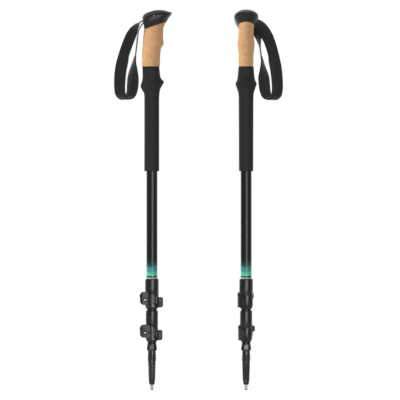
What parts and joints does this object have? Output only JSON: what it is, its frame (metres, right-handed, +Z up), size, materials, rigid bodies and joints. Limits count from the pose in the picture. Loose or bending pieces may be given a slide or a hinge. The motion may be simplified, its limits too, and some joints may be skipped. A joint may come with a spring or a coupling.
{
  "type": "pair of telescopic trekking poles",
  "caption": "Telescopic trekking poles with cork and foam grips, padded wrist straps, cam lever clamps on nested tubes, and plastic flex tips with metal points.",
  "frame": {"origin": "the end of the left pole's metal tip, on the pole's axis", "axes": "+Z up along both poles; +X from the left pole to the right one, and the way the left pole's beak points; +Y to the back, across the pair"},
  "size_m": [0.2766, 0.0736, 0.6204],
  "materials": {
    "cap_plastic": "fine texture",
    "head_plastic": "satin",
    "cork": "bare cork",
    "foam": "matte foam",
    "strap_webbing": "woven webbing",
    "strap_lining": "soft lining",
    "tube_paint": "black lacquer with a green band at the foot",
    "inner_tube": "black anodised",
    "inner_plastic": "plain",
    "clamp_plastic": "satin",
    "lever_plastic": "satin",
    "dial_plastic": "satin",
    "tip_plastic": "gloss",
    "steel": "plain",
    "carbide": "ground"
  },
  "bodies": {
    "left_upper_section": {"left_head_cap": "cap_plastic", "left_head_shell": "head_plastic", "left_head_pin": "steel", "left_strap_pin": "steel", "left_cork_grip": "cork", "left_grip_core": "inner_plastic", "left_foam_grip": "foam", "left_upper_tube": "tube_paint", "left_upper_clamp": "clamp_plastic", "left_upper_barrel_pin": "steel", "left_upper_tension_bolt": "steel"},
    "left_strap": {"left_strap_anchor": "strap_webbing", "left_strap_web": "strap_webbing", "left_strap_pad": "strap_lining"},
    "left_upper_lever": {"left_upper_lever": "lever_plastic"},
    "left_upper_dial": {"left_upper_tension_dial": "dial_plastic"},
    "left_middle_section": {"left_middle_tube": "inner_tube", "left_middle_bush": "inner_plastic", "left_lower_clamp": "clamp_plastic", "left_lower_barrel_pin": "steel", "left_lower_tension_bolt": "steel"},
    "left_lower_lever": {"left_lower_lever": "lever_plastic"},
    "left_lower_dial": {"left_lower_tension_dial": "dial_plastic"},
    "left_lower_section": {"left_lower_tube": "inner_tube", "left_lower_bush": "inner_plastic", "left_flex_tip": "tip_plastic", "left_carbide_tip": "carbide"},
    "right_upper_section": {"right_head_cap": "cap_plastic", "right_head_shell": "head_plastic", "right_head_pin": "steel", "right_strap_pin": "steel", "right_cork_grip": "cork", "right_grip_core": "inner_plastic", "right_foam_grip": "foam", "right_upper_tube": "tube_paint", "right_upper_clamp": "clamp_plastic", "right_upper_barrel_pin": "steel", "right_upper_tension_bolt": "steel"},
    "right_strap": {"right_strap_anchor": "strap_webbing", "right_strap_web": "strap_webbing", "right_strap_pad": "strap_lining"},
    "right_upper_lever": {"right_upper_lever": "lever_plastic"},
    "right_upper_dial": {"right_upper_tension_dial": "dial_plastic"},
    "right_middle_section": {"right_middle_tube": "inner_tube", "right_middle_bush": "inner_plastic", "right_lower_clamp": "clamp_plastic", "right_lower_barrel_pin": "steel", "right_lower_tension_bolt": "steel"},
    "right_lower_lever": {"right_lower_lever": "lever_plastic"},
    "right_lower_dial": {"right_lower_tension_dial": "dial_plastic"},
    "right_lower_section": {"right_lower_tube": "inner_tube", "right_lower_bush": "inner_plastic", "right_flex_tip": "tip_plastic", "right_carbide_tip": "carbide"}
  },
  "joints": [
    {"name": "left_strap_swing", "type": "hinge", "parent": "left_upper_section", "child": "left_strap", "pos_m": [-0.0095, 0, 0.6035], "axis": [0, 1, 0], "range_deg": [0, 28]},
    {"name": "left_upper_lever_open", "type": "hinge", "parent": "left_upper_section", "child": "left_upper_lever", "pos_m": [-0.0153, -0.009, 0.1534], "axis": [0, 0, -1], "range_deg": [0, 150]},
    {"name": "left_upper_dial_turn", "type": "hinge", "parent": "left_upper_section", "child": "left_upper_dial", "pos_m": [-0.0153, 0.0068, 0.1534], "axis": [0, 1, 0], "continuous": true},
    {"name": "left_lower_lever_open", "type": "hinge", "parent": "left_middle_section", "child": "left_lower_lever", "pos_m": [-0.0153, -0.009, 0.0999], "axis": [0, 0, -1], "range_deg": [0, 150]},
    {"name": "left_lower_dial_turn", "type": "hinge", "parent": "left_middle_section", "child": "left_lower_dial", "pos_m": [-0.0153, 0.0068, 0.0999], "axis": [0, 1, 0], "continuous": true},
    {"name": "left_middle_extend", "type": "slide", "parent": "left_upper_section", "child": "left_middle_section", "axis": [0, 0, -1], "range_m": [0, 0.365]},
    {"name": "left_lower_extend", "type": "slide", "parent": "left_middle_section", "child": "left_lower_section", "axis": [0, 0, -1], "range_m": [0, 0.365]},
    {"name": "right_pole_lift", "type": "slide", "parent": "left_upper_section", "child": "right_upper_section", "axis": [0, 0, 1], "range_m": [0, 0.25]},
    {"name": "right_strap_swing", "type": "hinge", "parent": "right_upper_section", "child": "right_strap", "pos_m": [0.1537, 0.0095, 0.6035], "axis": [1, 0, 0], "range_deg": [0, 28]},
    {"name": "right_upper_lever_open", "type": "hinge", "parent": "right_upper_section", "child": "right_upper_lever", "pos_m": [0.14837, 0.01693, 0.1534], "axis": [0, 0, -1], "range_deg": [0, 150]},
    {"name": "right_upper_dial_turn", "type": "hinge", "parent": "right_upper_section", "child": "right_upper_dial", "pos_m": [0.16377, 0.01338, 0.1534], "axis": [0.9744, -0.225, 0], "continuous": true},
    {"name": "right_lower_lever_open", "type": "hinge", "parent": "right_middle_section", "child": "right_lower_lever", "pos_m": [0.15048, 0.01745, 0.0999], "axis": [0, 0, -1], "range_deg": [0, 150]},
    {"name": "right_lower_dial_turn", "type": "hinge", "parent": "right_middle_section", "child": "right_lower_dial", "pos_m": [0.16532, 0.01205, 0.0999], "axis": [0.9397, -0.342, 0], "continuous": true},
    {"name": "right_middle_extend", "type": "slide", "parent": "right_upper_section", "child": "right_middle_section", "axis": [0, 0, -1], "range_m": [0, 0.365]},
    {"name": "right_lower_extend", "type": "slide", "parent": "right_middle_section", "child": "right_lower_section", "axis": [0, 0, -1], "range_m": [0, 0.365]}
  ]
}
